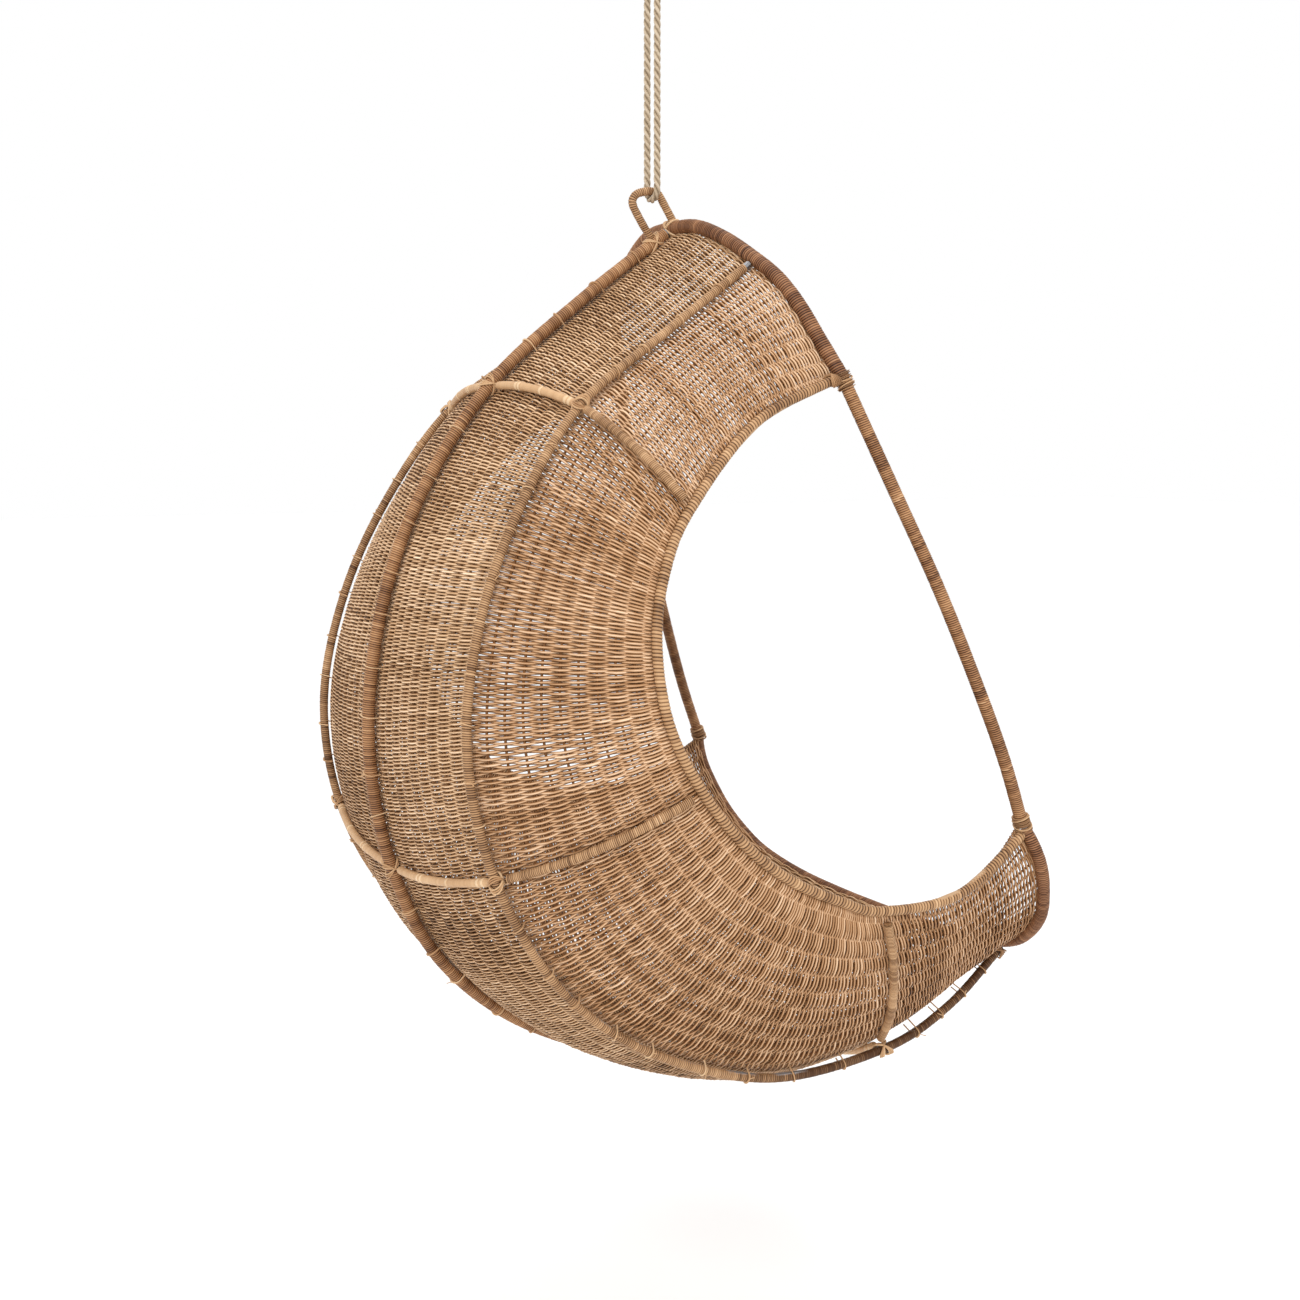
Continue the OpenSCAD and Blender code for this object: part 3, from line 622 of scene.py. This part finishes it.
def loop(strands, centre, along, out, radius, width, thick, reach=360.0, slant=0.0, lean=0.0, tone=0.7, tail=0.0):
    """A strip round a bar at centre: reach degrees of it about the side that faces out. It is
    slanted sideways, or leans by that many mm from front to back, and tail runs on inward."""
    along = unit(np.asarray(along, float))
    out = unit(out - dot(out, along) * along)
    side = np.cross(along, out)
    t = np.radians(np.linspace(-reach / 2, reach / 2, max(8, int(reach / 12))))
    r = radius + thick
    line = centre + r * (np.cos(t)[:, None] * out + np.sin(t)[:, None] * side)
    line = line + (slant * np.sin(t) * r + lean * np.cos(t))[:, None] * along
    if tail:
        line = np.concatenate([[line[0] - tail * out], line, [line[-1] - tail * out]])
    # edge=0.2 paints shade along the sides of the strip
    strands.path(evenly(line, 1.6), along, width, thick, tone, edge=0.2)


def tangent(curve, k):
    return curve(k + 0.02) - curve(k - 0.02)


def loose_end(strands, start, direction, length):
    """A free curling end of cane."""
    t = np.linspace(0, 1, 12)[:, None]
    swerve = rng.normal(0, 0.35, 3)
    line = start + length * (t * unit(direction) + t**2 * swerve)
    # edge=0.2 paints shade along the sides of the loose end
    strands.path(line, [0.3, 0.5, 0.8], 0.9, 0.6, 0.7, edge=0.2)


tie_places = [0.4 * i for i in range(1, 30) if i % 10 != 5]
for k in tie_places:
    k = k + rng.uniform(-0.05, 0.05)
    e = inward(k)
    loop(ties["spine"], spine(k), tangent(spine, k), -e, SPINE_D / 2, 1.5, 0.8, 200,
         rng.uniform(-0.4, 0.4), 0, rng.uniform(0.6, 0.95), rng.uniform(8, 12))
    for side, hand in SIDE_NAMES.items():
        here = lambda q: spar(q, side)
        reach = np.interp(k, *SPAR_CLEAR) - 4
        loop(ties[hand], here(k), tangent(here, k), 0.8 * side * Y - 0.6 * e, SPAR_D / 2, 1.5, 0.8, 200,
             rng.uniform(-0.4, 0.4), 0, rng.uniform(0.6, 0.95), reach)
        if rng.random() < 0.25:
            loose_end(ties[hand], here(k) + (SPAR_D / 2 + 1) * side * Y, rng.normal(0, 1, 3) + side * Y, 8)
    if rng.random() < 0.25:
        loose_end(ties["spine"], spine(k) - (SPINE_D / 2 + 1) * e, rng.normal(0, 1, 3) - e, 8)
for k in (UPPER_HOOP, LOWER_HOOP, FRONT_HOOP):
    for lean in (-11, -8, -5, 5, 8, 11):
        loop(lashings, spine(k), tangent(spine, k), -inward(k), SPINE_D / 2 + 0.8, 1.6, 0.9, 360, 0.1, lean,
             rng.uniform(0.5, 0.9))
        for side in (LEFT, RIGHT):
            here = lambda q: spar(q, side)
            loop(lashings, here(k), tangent(here, k), 0.8 * side * Y - 0.6 * inward(k), SPAR_D / 2 + 1.5,
                 1.8, 1.1, 360, 0.2, lean, rng.uniform(0.5, 0.9))
foot = spine(0.206)
for lean in (-13, -10, -7, 7, 10, 13):
    loop(lashings, foot, tangent(spine, 0.2), -inward(0), SPINE_D / 2, 1.6, 0.9, 360, 0, lean, 0.8)
    loop(lashings, rim(TOP_BOW_HALF, 0, 1)[0], Y, np.array([-0.1, 0, 1]), TOP_BOW_D / 2, 1.6, 0.9, 360, 0, lean, 0.8)
for side in (LEFT, RIGHT):
    bar = rim(BAR_LINE, 0, 5, side)
    for end, away, count in ((bar[0], bar[20] - bar[0], 7), (bar[-1], bar[-20] - bar[-1], 7)):
        away = unit(away)
        for i in range(-2, count):
            loop(lashings, end + 2.6 * i * away, away, RIM_NORMAL, BAR_D / 2 + 0.4 + 0.1 * (count - i), 1.8, 0.8, 360,
                 0.04 * (-1)**i, 0, rng.uniform(0.3, 0.55))
        loop(lashings, end + 2 * away, away, RIM_NORMAL, BAR_D / 2 + 1.8, 1.6, 0.9, 360, 0.35, 0, 0.75)
        loop(lashings, end + 12 * away, away, RIM_NORMAL, BAR_D / 2 + 1.6, 1.6, 0.9, 360, -0.2, 0, 0.75)
    here = lambda q: arm(q, side)
    for lean in (-7, -4, -1, 2, 5, 8):
        loop(lashings, here(0.11), tangent(here, 0.11), RIM_NORMAL, ARM_RIM_D / 2 + 0.6, 1.8, 0.9, 360, 0.15, lean,
             rng.uniform(0.4, 0.7))
    here = lambda q: spar(q, side)
    for lean in (-8, -4, 0, 4, 8):
        loop(lashings, here(11.93), tangent(here, 11.93), RIM_NORMAL, SPAR_D / 2 + 1.5, 1.8, 1.1, 360, 0.2, lean, 0.4)
for word, strands in ties.items():
    strands.piece("ties_" + word, PALE, "chair", "pale_cane", ["cane_ties_" + word])
lashings.piece("lashings", PALE, "chair", "pale_cane", ["joint_lashings"])

# ---- Studio
FLOOR_Z = -2.15


def area_light(name, place, size, power):
    light = bpy.data.objects.new(name, bpy.data.lights.new(name, "AREA"))
    light.data.size = size
    light.data.energy = power
    light.location = place
    light.rotation_euler = (TARGET - Vector(place)).to_track_quat("-Z", "Y").to_euler()
    bpy.context.scene.collection.objects.link(light)


bpy.ops.mesh.primitive_plane_add(size=60, location=(0, 0, FLOOR_Z))
floor = bpy.context.object
floor.name = "floor"
paper = plain("floor_white", (0.9, 0.9, 0.9), 0.9)
paper.node_tree.nodes["Principled BSDF"].inputs["Emission Color"].default_value = (1, 1, 1, 1)
paper.node_tree.nodes["Principled BSDF"].inputs["Emission Strength"].default_value = 0.1
floor.data.materials.append(paper)
area_light("key_light", (-3.2, -3.4, 1.6), 2.0, 110)
area_light("front_light", (2.5, -4.0, 0.5), 3.0, 30)
area_light("top_light", (0.0, 0.0, 2.5), 2.0, 40)
world = bpy.data.worlds.new("studio")
world.use_nodes = True
world.node_tree.nodes["Background"].inputs["Color"].default_value = (1, 1, 1, 1)
world.node_tree.nodes["Background"].inputs["Strength"].default_value = 1.0
bpy.context.scene.world = world
bpy.context.scene.view_settings.view_transform = "Standard"
